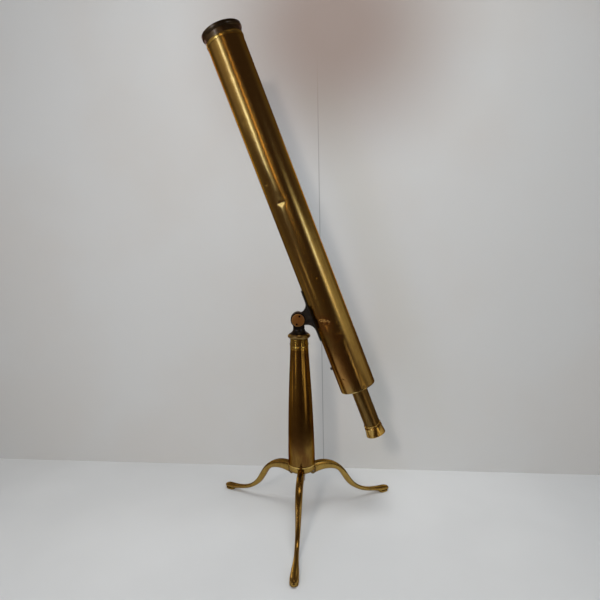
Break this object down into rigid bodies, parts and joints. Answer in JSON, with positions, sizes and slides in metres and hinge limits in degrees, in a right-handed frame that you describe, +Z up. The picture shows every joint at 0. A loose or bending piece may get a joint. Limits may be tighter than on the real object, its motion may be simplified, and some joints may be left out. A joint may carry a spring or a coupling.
{
  "type": "brass table telescope",
  "caption": "Refracting telescope of brass on a turned pillar with folding cabriole legs, a swivel head, a tilting cradle and a sliding draw tube.",
  "frame": {"origin": "on the floor, under the axis of the pillar", "axes": "+Z up along the pillar; the optical axis lies in the XZ plane, with the objective towards -X at rest; +Y completes the right-handed frame"},
  "size_m": [0.3998, 0.3641, 1.0301],
  "materials": {
    "aged_brass": "old lacquered brass, browned, with small dents and scratches",
    "stand_brass": "old polished brass casting, browned in the hollows",
    "bright_brass": "brass kept bright by handling",
    "draw_brass": "drawn brass with fine marks along the tube",
    "dark_brass": "brass with a nearly black patina, rubbed through at the edges",
    "blackened_brass": "chemically blackened brass, semi-matte, worn at the edges",
    "copper_brass": "red-brown patina, satin",
    "inner_brass": "plain machined brass",
    "steel": "dull steel",
    "black_steel": "blued steel screw",
    "black_paint": "matte black optical paint",
    "leather": "thin greased washer leather",
    "cloth": "short-pile cloth glued inside the sleeve",
    "glass": "clear polished glass"
  },
  "bodies": {
    "stand": {"hub": "stand_brass", "finial_bolt": "stand_brass", "leg_hinge_pins": "steel", "pillar": "aged_brass", "pillar_plug": "inner_brass", "collar": "bright_brass", "collar_screws": "steel"},
    "front_leg": {"leg_front": "stand_brass"},
    "left_leg": {"leg_left": "stand_brass"},
    "right_leg": {"leg_right": "stand_brass"},
    "head": {"head_fork": "blackened_brass", "swivel_washer": "leather", "pivot_bolt": "steel", "pivot_cap": "copper_brass", "pivot_nut": "copper_brass"},
    "telescope": {"cradle": "blackened_brass", "friction_washers": "leather", "cradle_screws": "blackened_brass", "main_tube": "aged_brass", "objective_cell": "dark_brass", "crown_lens": "glass", "flint_lens": "glass", "lens_ring": "black_paint", "front_baffle": "black_paint", "rear_baffle": "black_paint", "tail_plate": "aged_brass", "tail_screws": "aged_brass", "draw_sleeve": "inner_brass", "sleeve_lining": "cloth", "sleeve_ring": "inner_brass", "sleeve_ring_screw": "black_steel"},
    "draw": {"draw_tube": "draw_brass", "draw_stop_ring": "inner_brass", "erector_tube": "black_paint", "erector_front_lens": "glass", "erector_rear_lens": "glass", "erector_stop": "black_paint", "eyepiece_body": "bright_brass", "field_lens": "glass", "eye_lens": "glass", "eye_lens_ring": "black_paint", "eye_cap": "bright_brass"}
  },
  "joints": [
    {"name": "azimuth", "type": "hinge", "parent": "stand", "child": "head", "pos_m": [0, 0, 0.397], "axis": [0, 0, 1], "continuous": true},
    {"name": "altitude", "type": "hinge", "parent": "head", "child": "telescope", "pos_m": [-0.0012, 0, 0.4365], "axis": [0, 1, 0], "range_deg": [-90, 10]},
    {"name": "draw_slide", "type": "slide", "parent": "telescope", "child": "draw", "axis": [0.342, 0, -0.9397], "range_m": [-0.08, 0.05]},
    {"name": "front_leg_hinge", "type": "hinge", "parent": "stand", "child": "front_leg", "pos_m": [-0.00201, -0.02392, 0.0976], "axis": [0.9965, -0.0837, 0], "range_deg": [0, 58]},
    {"name": "right_leg_hinge", "type": "hinge", "parent": "stand", "child": "right_leg", "pos_m": [0.02172, 0.01022, 0.0976], "axis": [-0.4258, 0.9048, 0], "range_deg": [0, 58]},
    {"name": "left_leg_hinge", "type": "hinge", "parent": "stand", "child": "left_leg", "pos_m": [-0.01971, 0.0137, 0.0976], "axis": [-0.5707, -0.8211, 0], "range_deg": [0, 58]}
  ]
}
